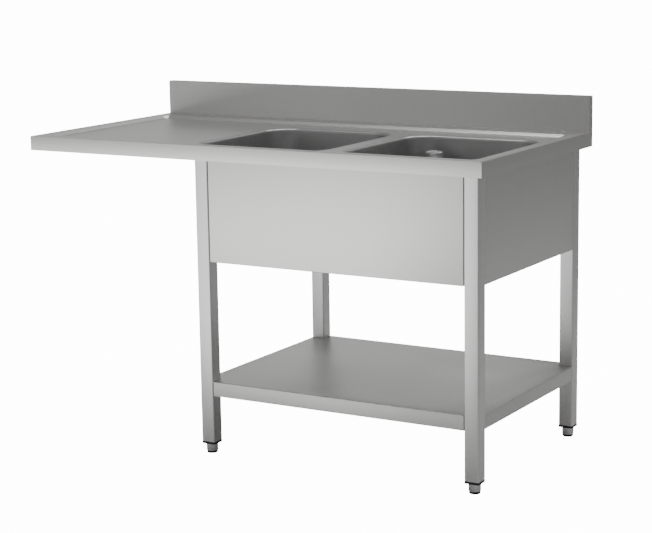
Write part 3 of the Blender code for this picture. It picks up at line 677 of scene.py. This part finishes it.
def build_bowl(side, sizes):
    """Draws a bowl's walls down from the worktop's field.

    Known fault: the floor and the waste's pocket are missing. The drain's circle is loose edges,
    which the picks of boundary edges below pass over, so nothing bridges it to the walls.
    """
    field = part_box("worktop")[0].z + sizes.edge_height - sizes.recess
    low, high = bowl_outline(side, sizes, sizes.bowl_land)
    corner = sizes.bowl_corner + sizes.bowl_land
    flange_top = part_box(f"{side}_bowl")[1].z
    floor = flange_top - sizes.bowl_depth
    drain = drain_axis(side)
    pocket_radius = waste_flange_radius(side) + WASTE_POCKET_CLEARANCE
    wall = field - sizes.bowl_rim - floor - sizes.bowl_floor
    piece = rounded_plate(f"{side}_bowl_pressing", low, high, field, corner, BOWL_CORNER_SEGMENTS)
    with editing(piece):
        bpy.ops.mesh.select_mode(type="FACE")
        bpy.ops.mesh.select_all(action="SELECT")
        inset(sizes.bowl_land)
        for inward, down in quarter(sizes.bowl_rim, 8, start_level=True):
            inset(inward, -down)
        extrude(0, 0, -wall)
        for inward, down in quarter(sizes.bowl_floor, 8, start_level=False):
            inset(inward, -down)
        bpy.ops.mesh.delete(type="ONLY_FACE")
        drain.z = floor - sizes.bowl_fall
        bpy.ops.mesh.primitive_circle_add(
            vertices=4 * (BOWL_CORNER_SEGMENTS + 1), radius=pocket_radius + sizes.pocket, location=drain
        )
        pick(piece, "edges", lambda edge: edge.is_boundary and middle(edge).z < field - wall)
        bpy.ops.mesh.bridge_edge_loops(number_cuts=0)
        pick(piece, "edges", lambda edge: edge.is_boundary and middle(edge).z < floor - HAIR)
        ring = pocket_radius + sizes.pocket
        drain_hole = sizes.waste_bore + WASTE_WALL + GAP
        for radius, drop in ((pocket_radius, sizes.pocket), (drain_hole, 0)):
            extrude(0, 0, -drop)
            drain.z -= drop
            shrink = radius / ring
            bpy.ops.transform.resize(value=(shrink, shrink, 1), center_override=drain)
            ring = radius
        bpy.ops.mesh.select_all(action="SELECT")
        bpy.ops.mesh.normals_make_consistent(inside=False)
        rim = max(bmesh.from_edit_mesh(piece.data).faces, key=lambda face: middle(face).z)
        if rim.normal.z < 0:
            bpy.ops.mesh.flip_normals()
    thicken(piece, sizes.bowl_sheet)
    return finish(piece, "bowl_steel", "unit", f"{side}_bowl")


# ---- wastes and standpipe -----------------------------------------------------------------
def drain_axis(side):
    low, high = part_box(f"{side}_waste_body")
    return Vector(((low.x + high.x) / 2, (low.y + high.y) / 2, 0))


def waste_flange_radius(side):
    low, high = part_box(f"{side}_waste_body")
    return (high.x - low.x) / 2


def build_waste(side, sizes):
    """A flanged waste with a sealing seat, its rubber gasket and its lugged back nut."""
    low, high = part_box(f"{side}_waste_body")
    axis = drain_axis(side)
    flange = waste_flange_radius(side)
    bore = sizes.waste_bore
    mouth = bore + WASTE_SEAT_TAPER
    outer = bore + WASTE_WALL
    hole = outer + GAP
    under = high.z - WASTE_FLANGE_THICKNESS
    body = [
        *arc((mouth + MOUTH_ROUND, high.z - MOUTH_ROUND), MOUTH_ROUND, 180, 90, 4),
        (flange - 0.010, high.z),
        (flange - 0.0095, high.z - 0.0005),
        (flange - 0.0085, high.z - 0.0005),
        (flange - 0.008, high.z),
        *arc((flange - 0.0018, high.z - 0.0018), 0.0018, 90, 0, 5),
        (flange, under),
        (outer, under),
    ]
    thread_top = under - 0.005
    turns = int((thread_top - low.z - 0.004) / WASTE_THREAD_PITCH)
    for turn in range(turns):
        root = thread_top - WASTE_THREAD_PITCH * turn
        body += [(outer - WASTE_THREAD_DEPTH, root), (outer, root - WASTE_THREAD_PITCH / 2)]
    body += [
        (outer - WASTE_THREAD_DEPTH, low.z + WASTE_THREAD_DEPTH),
        (outer - 2 * WASTE_THREAD_DEPTH, low.z),
        (bore, low.z),
        (bore, high.z - WASTE_SEAT_DEPTH),
        (mouth, high.z - MOUTH_ROUND),
    ]
    waste = turned(f"{side}_waste_fitting", axis, body)
    finish(waste, "polished_steel", "unit", f"{side}_waste_body")

    low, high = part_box(f"{side}_waste_gasket")
    rim = (high.x - low.x) / 2
    bead = (high.z - low.z) / 2
    ring = [
        (hole, low.z),
        (hole, high.z),
        *arc((rim - bead, low.z + bead), bead, 90, -90, 8),
        (hole, low.z),
    ]
    gasket = turned(f"{side}_waste_seal", axis, ring)
    finish(gasket, "black_rubber", "unit", f"{side}_waste_gasket")

    low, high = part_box(f"{side}_waste_nut")
    across = (high.x - low.x) / 2
    centre = axis + UP * (low.z + high.z) / 2
    nut = start_piece(
        f"{side}_waste_back_nut",
        "cylinder",
        vertices=8,
        radius=across,
        depth=high.z - low.z,
        location=centre,
    )
    with editing(nut):
        pick(nut, "edges", is_upright)
        bevel(0.0025, 3)
        pick(nut, "faces", lambda face: abs(face.normal.z) > 0.99)
        inset(0.0030, 0.0)
        inset(0.0008, -0.0010)
    round_folds(nut, 0.0006, 2)
    drill(nut, centre, UP, hole, 0.04, 48)
    finish(nut, "black_plastic", "unit", f"{side}_waste_nut")


def build_standpipe(sizes):
    """The polished overflow pipe with its rolled mouth, and the ribbed rubber plug below it."""
    low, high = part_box("standpipe")
    axis = drain_axis("right")
    radius = (high.x - low.x) / 2
    inner = radius - sizes.pipe_wall
    lip = sizes.pipe_lip / 2
    outline = [
        (inner, high.z - 3 * sizes.pipe_lip),
        (inner - 0.0008, high.z - 1.6 * sizes.pipe_lip),
        *arc((radius - lip, high.z - lip), lip, 195, 0, 14),
        (radius, high.z - 1.4 * sizes.pipe_lip),
        (radius - 0.0004, high.z - 1.6 * sizes.pipe_lip),
        (radius - 0.0004, low.z + 0.010),
        (radius, low.z + 0.008),
        (radius, low.z + 0.0006),
        (radius - 0.0006, low.z),
        (inner, low.z),
        (inner, high.z - 3 * sizes.pipe_lip),
    ]
    pipe = turned("standpipe_tube", axis, outline, steps=72)
    finish(pipe, "polished_steel", body_of("standpipe"), "standpipe")

    plug_low, plug_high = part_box("standpipe_plug")
    collar_top = low.z - GAP
    collar_bottom = collar_top - PLUG_COLLAR_HEIGHT
    taper_top = sizes.waste_bore + WASTE_SEAT_TAPER - GAP
    taper_bottom = sizes.waste_bore - GAP
    bore = taper_bottom - PLUG_WALL
    spigot = inner - GAP
    plug = [
        (bore, plug_high.z),
        (spigot - 0.001, plug_high.z),
        (spigot, plug_high.z - 0.001),
        (spigot, collar_top),
        *arc((radius - MOUTH_ROUND, collar_top - MOUTH_ROUND), MOUTH_ROUND, 90, 0, 3),
        *arc((radius - MOUTH_ROUND, collar_bottom + MOUTH_ROUND), MOUTH_ROUND, 0, -90, 3),
    ]
    drop = collar_bottom - plug_low.z
    for rib in range(PLUG_RIBS):
        for part, inward in ((0.05, PLUG_RIB_DEPTH), (0.30, 0), (0.70, 0), (0.95, PLUG_RIB_DEPTH)):
            fall = (rib + part) / PLUG_RIBS
            taper = taper_top + (taper_bottom - taper_top) * fall
            plug.append((taper - inward, collar_bottom - drop * fall))
    plug += [(taper_bottom - MOUTH_ROUND, plug_low.z), (bore, plug_low.z), (bore, plug_high.z)]
    bung = turned("standpipe_bung", axis, plug)
    finish(bung, "black_rubber", body_of("standpipe_plug"), "standpipe_plug")


# ---- frame --------------------------------------------------------------------------------
def tube(name, low, high, axis, wall, corner):
    """A rectangular tube, open at both ends, along X, Y or Z."""
    piece = block(name, low, high)
    along = [1 if letter == axis else 0 for letter in "XYZ"]
    with editing(piece):
        pick(piece, "faces", lambda face: abs(face.normal.dot(Vector(along))) > 0.99)
        bpy.ops.mesh.delete(type="FACE")
    round_folds(piece, corner, 5)
    thicken(piece, wall)
    return piece


def build_rails(sizes):
    for node, axis in (
        ("front_rail", "X"),
        ("rear_rail", "X"),
        ("drainboard_end_rail", "Y"),
        ("drainboard_middle_rail", "Y"),
        ("bowl_side_rail", "Y"),
        ("right_end_rail", "Y"),
    ):
        rail = tube(f"{node}_tube", *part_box(node), axis, sizes.tube_wall, sizes.tube_corner)
        finish(rail, "rail_steel", "unit", node)
    for corner in CORNERS:
        repaint(f"{corner}_leg_socket", "rail_steel")


def screw_places():
    """Each screw's node, with the middle of its head's seat and the way its head looks."""
    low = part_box("front_left_leg")[0]
    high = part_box("rear_right_leg")[1]
    centre = (low + high) / 2
    for node in frame["nodes"]:
        if "screw" not in node and "bolt" not in node:
            continue
        axis = 1 if node.startswith("right_panel") else 0
        first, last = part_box(node)
        place = (first + last) / 2
        sign = 1 if centre[axis] > place[axis] else -1
        look = Vector([sign if index == axis else 0 for index in range(3)])
        end = last[axis] if sign > 0 else first[axis]
        place[axis] = end - sign * SCREWS[kind_of(node)]["head_height"]
        yield node, place, look


def kind_of(node):
    return next(kind for kind in SCREWS if kind in node)


def screw_master(kind):
    """One screw at the origin, its head looking up, with a drive recess and a rolled thread."""
    sizes = SCREWS[kind]
    head, height = sizes["head"], sizes["head_height"]
    shank, run = sizes["shank"], sizes["length"]
    flat = head * HEAD_FLAT
    outline = [(0, height), (flat, height)]
    steps = 7
    for step in range(1, steps + 1):
        angle = math.pi / 2 * step / steps
        level = HEAD_RIM + (height - HEAD_RIM) * math.cos(angle)
        outline.append((flat + (head - flat) * math.sin(angle), level))
    outline += [(head, 0), (shank, 0)]
    pitch = shank * 0.3
    turns = int((run - 0.001) / pitch)
    for turn in range(turns):
        level = -0.0005 - pitch * turn
        outline += [(shank * 0.86, level), (shank, level - pitch / 2)]
    outline += [(shank * 0.8, -run + 0.0003), (shank * 0.6, -run), (0, -run)]
    piece = turned(f"{kind}_master", (0, 0, 0), outline, steps=32)
    if kind == "panel_screw":
        for size in ((head * 0.9, head * 0.18), (head * 0.18, head * 0.9)):
            reach = Vector((*size, height * 0.55)) / 2
            slot_middle = UP * height
            cut(piece, block("cutter", slot_middle - reach, slot_middle + reach))
    else:
        drill(piece, (0, 0, height), UP, flat, height, 6)
    return piece


def build_fasteners():
    masters = {kind: screw_master(kind) for kind in SCREWS}
    for node, place, look in screw_places():
        kind = kind_of(node)
        piece = copy_of(
            masters[kind], f"{node}_threaded", Matrix.Translation(place) @ turn_matrix(look)
        )
        finish(piece, "screw_steel", "unit", node)
    for master in masters.values():
        bpy.data.objects.remove(master, do_unlink=True)


def screw_holes(*nodes):
    """Centre, direction and radius of the hole for each of these screws."""
    for node, place, look in screw_places():
        if node in nodes:
            yield place, look, SCREWS[kind_of(node)]["shank"] + GAP


def build_legs(sizes):
    """Square tubes with the holes that their screws go through, and plastic inserts in their feet."""
    for corner in CORNERS:
        row, end = corner.split("_")
        low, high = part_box(f"{corner}_leg")
        leg = tube(f"{corner}_leg_tube", low, high, "Z", sizes.tube_wall, sizes.tube_corner)
        screws = [f"{corner}_shelf_bolt", f"{corner}_socket_screw", f"{row}_panel_screw_{end}"]
        if end == "right":
            screws.append(f"right_panel_screw_{row}")
        for centre, look, radius in screw_holes(*screws):
            drill(leg, centre - look * LEG_HOLE_DEPTH / 2, look, radius, LEG_HOLE_DEPTH)
        finish(leg, "leg_steel", "unit", f"{corner}_leg")
        build_insert(corner, sizes)


def build_insert(corner, sizes):
    low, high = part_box(f"{corner}_leg_insert")
    leg_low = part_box(f"{corner}_leg")[0]
    lip = leg_low.x - low.x
    piece = block(f"{corner}_insert_plug", low, (high.x, high.y, leg_low.z - GAP))
    with editing(piece):
        pick(piece, "edges", is_upright)
        bevel(sizes.tube_corner + lip, 5)
        pick(piece, "faces", facing(0, 0, 1))
        inset(lip + sizes.tube_wall + GAP)
        extrude(0, 0, high.z - leg_low.z + GAP)
        pick(piece, "edges", lambda edge: edge.calc_face_angle(0) > 1 and not is_upright(edge))
        bevel(0.0007, 2)
    drill(piece, (low + high) / 2, UP, STEM_RADIUS + GAP, 0.2, 32)
    finish(piece, "black_plastic", "unit", f"{corner}_leg_insert")


# ---- feet ---------------------------------------------------------------------------------
def build_foot(corner, sizes):
    """A turned foot on a threaded stem, with its sole pad."""
    low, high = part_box(f"{corner}_foot")
    axis = Vector(((low.x + high.x) / 2, (low.y + high.y) / 2, 0))
    radius = (high.x - low.x) / 2
    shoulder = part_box(f"{corner}_leg_insert")[0].z - GAP
    crest = STEM_RADIUS - STEM_THREAD_CLEARANCE
    thread_top = high.z - STEM_CHAMFER
    outline = [(0, high.z), (STEM_RADIUS - STEM_CHAMFER, high.z), (crest, thread_top)]
    step = sizes.thread_pitch / 5
    rings = int((thread_top - shoulder - 0.001) / step)
    outline += [(crest, thread_top - ring * step) for ring in range(1, rings + 1)]
    outline += [
        (STEM_RADIUS + STEM_CHAMFER, shoulder),
        *arc((radius - FOOT_ROUND, shoulder - FOOT_ROUND), FOOT_ROUND, 90, 0, 6),
        (radius, low.z + 0.0088),
        (radius - 0.0007, low.z + 0.0082),
        (radius - 0.0007, low.z + 0.0066),
        (radius, low.z + 0.0060),
        (radius, low.z + 0.0014),
        (radius - 0.0012, low.z),
        (0, low.z),
    ]
    piece = turned(f"{corner}_foot_turned", axis, outline, steps=48)
    for vert in piece.data.vertices:
        offset = Vector((vert.co.x - axis.x, vert.co.y - axis.y, 0))
        if vert.co.z < shoulder + 0.0006 or offset.length < crest - STEM_THREAD_CLEARANCE:
            continue
        turn = (vert.co.z / sizes.thread_pitch - math.atan2(offset.y, offset.x) / math.tau) % 1
        vert.co -= offset.normalized() * STEM_THREAD_DEPTH * abs(2 * turn - 1)
    finish(piece, "foot_steel", body_of(f"{corner}_foot"), f"{corner}_foot")

    low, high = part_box(f"{corner}_foot_pad")
    rim = (high.x - low.x) / 2
    sole = [
        (0, high.z),
        (rim - 0.0006, high.z),
        (rim, high.z - 0.0006),
        (rim, low.z + 0.0020),
        *arc((rim - 0.0016, low.z + 0.0016), 0.0016, 0, -90, 4),
        (rim - 0.0060, low.z),
        (rim - 0.0066, low.z + 0.0008),
        (rim - 0.0078, low.z + 0.0008),
        (rim - 0.0084, low.z),
        (0, low.z),
    ]
    pad = turned(f"{corner}_foot_sole", axis, sole, steps=48)
    finish(pad, "black_plastic", body_of(f"{corner}_foot_pad"), f"{corner}_foot_pad")


# ---- apron and shelf ----------------------------------------------------------------------
def build_panel(node, back, sizes):
    """A folded panel, open at its back and its top."""
    low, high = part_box(node)
    piece = block(f"{node}_sheet", low, high)
    with editing(piece):
        pick(piece, "faces", lambda f: f.normal.dot(Vector(back)) > 0.99 or f.normal.z > 0.99)
        bpy.ops.mesh.delete(type="FACE")
    round_folds(piece, sizes.panel_fold)
    thicken(piece, sizes.panel_sheet)
    screws = [name for name in frame["nodes"] if f"{node}_screw" in name]
    for centre, look, radius in screw_holes(*screws):
        drill(piece, centre, look, radius, SHEET_HOLE_DEPTH)
    finish(piece, "apron_steel", "unit", node)


def build_shelf(sizes):
    """A tray with its edges folded down, notched round the legs, and the channel under it."""
    low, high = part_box("shelf")
    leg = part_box("front_left_leg")
    notch = leg[1].x + SHELF_SEAM - low.x
    centre = (low + high) / 2
    arm = high - centre
    piece = block("shelf_tray", low, high)
    with editing(piece):
        for axis in (0, 1):
            for place in (low[axis] + notch, high[axis] - notch):
                point = [place if index == axis else 0 for index in range(3)]
                normal = [1 if index == axis else 0 for index in range(3)]
                bpy.ops.mesh.select_all(action="SELECT")
                bpy.ops.mesh.bisect(plane_co=point, plane_no=normal)

        def spare(face):
            reach = middle(face) - centre
            in_corner = abs(reach.x) > arm.x - notch and abs(reach.y) > arm.y - notch
            return face.normal.z < 0.5 or in_corner

        pick(piece, "faces", spare)
        bpy.ops.mesh.delete(type="FACE")
        pick(piece, "edges", lambda edge: edge.is_boundary)
        extrude(0, 0, low.z - high.z)
        bpy.ops.mesh.select_all(action="SELECT")
        bpy.ops.mesh.normals_make_consistent(inside=False)
        lid = max(bmesh.from_edit_mesh(piece.data).faces, key=lambda face: face.calc_area())
        if lid.normal.z < 0:
            bpy.ops.mesh.flip_normals()
    round_folds(piece, sizes.panel_fold)
    thicken(piece, sizes.worktop_sheet)
    for place, look, radius in screw_holes(*(f"{corner}_shelf_bolt" for corner in CORNERS)):
        drill(piece, place, look, radius, SHEET_HOLE_DEPTH)
    finish(piece, "shelf_steel", "unit", "shelf")

    low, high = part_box("shelf_stiffener")
    channel = block("shelf_stiffener_channel", low, high)
    with editing(channel):
        pick(channel, "faces", lambda face: abs(face.normal.x) > 0.99 or face.normal.z < -0.99)
        bpy.ops.mesh.delete(type="FACE")
    round_folds(channel, sizes.panel_fold)
    thicken(channel, sizes.worktop_sheet)
    finish(channel, "rail_steel", "unit", "shelf_stiffener")


# ---- studio -------------------------------------------------------------------------------
def soft_box(name, place, aim, size, glow):
    """A rectangular area light that looks at a point, as bright per square metre as it glows."""
    light = bpy.data.lights.new(name, "AREA")
    light.shape = "RECTANGLE"
    light.size, light.size_y = size
    light.energy = glow * math.pi * size[0] * size[1]
    lamp = bpy.data.objects.new(name, light)
    lamp.location = place
    lamp.rotation_euler = (Vector(aim) - Vector(place)).to_track_quat("-Z", "Y").to_euler()
    lamp.visible_camera = False
    bpy.context.scene.collection.objects.link(lamp)


def build_floor(stage):
    floor = start_piece("studio_floor", "plane", size=60)
    graph = Graph("studio_floor")
    graph.set(Base_Color=(*stage.floor_colour, 1), Roughness=0.9)
    seen = graph.node("ShaderNodeLightPath", {}, {}, "Is Camera Ray")
    glow = graph.node(
        "ShaderNodeEmission", {}, {"Color": (1, 1, 1, 1), "Strength": stage.backdrop}
    )
    lit = Term(graph, graph.shader.outputs[0])
    both = graph.node("ShaderNodeAddShader", {}, {0: lit, 1: glow})
    mixed = graph.node("ShaderNodeMixShader", {}, {0: seen, 1: lit, 2: both})
    graph.links.new(mixed.socket, graph.nodes["Material Output"].inputs["Surface"])
    floor.data.materials.append(graph.material)


def build_world(stage):
    world = bpy.data.worlds.new("studio")
    bpy.context.scene.world = world
    world.use_nodes = True
    nodes, links = world.node_tree.nodes, world.node_tree.links
    path = nodes.new("ShaderNodeLightPath")
    bright = nodes["Background"]
    bright.inputs["Strength"].default_value = stage.backdrop
    bright.inputs["Color"].default_value = (1, 1, 1, 1)
    soft = nodes.new("ShaderNodeBackground")
    soft.inputs["Color"].default_value = (1, 1, 1, 1)
    soft.inputs["Strength"].default_value = stage.ambient
    mix = nodes.new("ShaderNodeMixShader")
    links.new(path.outputs["Is Camera Ray"], mix.inputs[0])
    links.new(soft.outputs[0], mix.inputs[1])
    links.new(bright.outputs[0], mix.inputs[2])
    links.new(mix.outputs[0], nodes["World Output"].inputs["Surface"])


def build_camera(stage):
    back = Vector(
        (
            math.sin(stage.azimuth) * math.cos(stage.elevation),
            -math.cos(stage.azimuth) * math.cos(stage.elevation),
            math.sin(stage.elevation),
        )
    )
    camera = bpy.data.objects.new("camera", bpy.data.cameras.new("camera"))
    camera.data.lens = stage.lens
    camera.data.sensor_width = SENSOR_WIDTH_MM
    turn = (-back).to_track_quat("-Z", "Y").to_matrix().to_4x4()
    place = Matrix.Translation(CAMERA_AIM + back * stage.distance)
    camera.matrix_world = place @ turn @ Matrix.Rotation(stage.roll, 4, "Z")
    bpy.context.scene.collection.objects.link(camera)
    bpy.context.scene.camera = camera


def build_stage(stage):
    build_floor(stage)
    build_world(stage)
    build_camera(stage)
    soft_box("left_card", (-2.2, -3.9, 0.01), (-2.2, -3.9, 9), (4.4, 5.6), 2.1)
    soft_box("middle_card", (-0.6, -3.9, 0.02), (-0.6, -3.9, 9), (2.4, 5.4), 0.8)
    soft_box("front_wall", (-3.6, -6.0, 1.6), (0.0, -0.3, 0.6), (5.0, 3.0), 0.35)
    soft_box("rear_wall", (-3.4, 4.2, 1.5), (-0.4, 0.2, 0.9), (4.5, 2.4), 0.65)
    soft_box("top_box_back", (1.2, 2.0, 3.5), (0.1, 0.1, 0.8), (0.55, 0.55), 22)
    soft_box("top_box_middle", (0.7, 0.35, 3.7), (0.1, 0.0, 0.8), (0.55, 0.55), 22)
    soft_box("top_box_front", (-0.5, -0.5, 3.7), (0.0, 0.0, 0.8), (0.5, 0.5), 22)


# ---- operators ----------------------------------------------------------------------------
class SINK_OT_worktop(bpy.types.Operator):
    """Build the folded worktop with its upstand and its recessed field"""

    bl_idname = "sink.worktop"
    bl_label = "Worktop"

    def execute(self, context):
        build_worktop(context.scene.sink_sizes)
        return {"FINISHED"}


class SINK_OT_bowls(bpy.types.Operator):
    """Build the two drawn bowls"""

    bl_idname = "sink.bowls"
    bl_label = "Bowls"

    def execute(self, context):
        for side in ("left", "right"):
            build_bowl(side, context.scene.sink_sizes)
        return {"FINISHED"}


class SINK_OT_wastes(bpy.types.Operator):
    """Build the wastes with their gaskets and back nuts"""

    bl_idname = "sink.wastes"
    bl_label = "Wastes"

    def execute(self, context):
        for side in ("left", "right"):
            build_waste(side, context.scene.sink_sizes)
        return {"FINISHED"}


class SINK_OT_standpipe(bpy.types.Operator):
    """Build the standpipe and its plug"""

    bl_idname = "sink.standpipe"
    bl_label = "Standpipe"

    def execute(self, context):
        build_standpipe(context.scene.sink_sizes)
        return {"FINISHED"}


class SINK_OT_rails(bpy.types.Operator):
    """Build the rails under the worktop"""

    bl_idname = "sink.rails"
    bl_label = "Rails"

    def execute(self, context):
        build_rails(context.scene.sink_sizes)
        return {"FINISHED"}


class SINK_OT_legs(bpy.types.Operator):
    """Build the legs and their foot inserts"""

    bl_idname = "sink.legs"
    bl_label = "Legs"

    def execute(self, context):
        build_legs(context.scene.sink_sizes)
        return {"FINISHED"}


class SINK_OT_feet(bpy.types.Operator):
    """Build the turned screw feet and their soles"""

    bl_idname = "sink.feet"
    bl_label = "Feet"

    def execute(self, context):
        for corner in CORNERS:
            build_foot(corner, context.scene.sink_sizes)
        return {"FINISHED"}


class SINK_OT_apron(bpy.types.Operator):
    """Build the apron's three panels"""

    bl_idname = "sink.apron"
    bl_label = "Apron"

    def execute(self, context):
        sizes = context.scene.sink_sizes
        build_panel("front_panel", (0, 1, 0), sizes)
        build_panel("rear_panel", (0, -1, 0), sizes)
        build_panel("right_panel", (-1, 0, 0), sizes)
        return {"FINISHED"}


class SINK_OT_shelf(bpy.types.Operator):
    """Build the lower shelf and its stiffener"""

    bl_idname = "sink.shelf"
    bl_label = "Shelf"

    def execute(self, context):
        build_shelf(context.scene.sink_sizes)
        return {"FINISHED"}


class SINK_OT_fasteners(bpy.types.Operator):
    """Build every screw and bolt"""

    bl_idname = "sink.fasteners"
    bl_label = "Fasteners"

    def execute(self, context):
        build_fasteners()
        return {"FINISHED"}


class SINK_OT_stage(bpy.types.Operator):
    """Set the floor, the lights and the camera"""

    bl_idname = "sink.stage"
    bl_label = "Studio"

    def execute(self, context):
        build_stage(context.scene.sink_stage)
        return {"FINISHED"}


OPERATORS = (
    SINK_OT_stage,
    SINK_OT_worktop,
    SINK_OT_bowls,
    SINK_OT_wastes,
    SINK_OT_standpipe,
    SINK_OT_rails,
    SINK_OT_legs,
    SINK_OT_feet,
    SINK_OT_apron,
    SINK_OT_shelf,
    SINK_OT_fasteners,
)
GROUPS = {"sink_sizes": SinkSizes, "sink_finishes": SinkFinishes, "sink_stage": SinkStage}


class SINK_PT_unit(bpy.types.Panel):
    """Lists the pieces of the sink unit and their settings"""

    bl_label = "Catering sink"
    bl_idname = "SINK_PT_unit"
    bl_space_type = "VIEW_3D"
    bl_region_type = "UI"
    bl_category = "Sink"

    def draw(self, context):
        for operator in OPERATORS:
            self.layout.operator(operator.bl_idname)
        for name, group in GROUPS.items():
            settings = getattr(context.scene, name)
            box = self.layout.box()
            box.label(text=group.bl_rna.name)
            for field in group.__annotations__:
                box.prop(settings, field)


def register():
    for each in (*GROUPS.values(), *OPERATORS, SINK_PT_unit):
        bpy.utils.register_class(each)
    for name, group in GROUPS.items():
        setattr(bpy.types.Scene, name, PointerProperty(type=group))


def unregister():
    for name in GROUPS:
        delattr(bpy.types.Scene, name)
    for each in reversed((*GROUPS.values(), *OPERATORS, SINK_PT_unit)):
        bpy.utils.unregister_class(each)


def main():
    register()
    for operator in OPERATORS:
        family, name = operator.bl_idname.split(".")
        getattr(getattr(bpy.ops, family), name)()


if __name__ == "__main__":
    main()
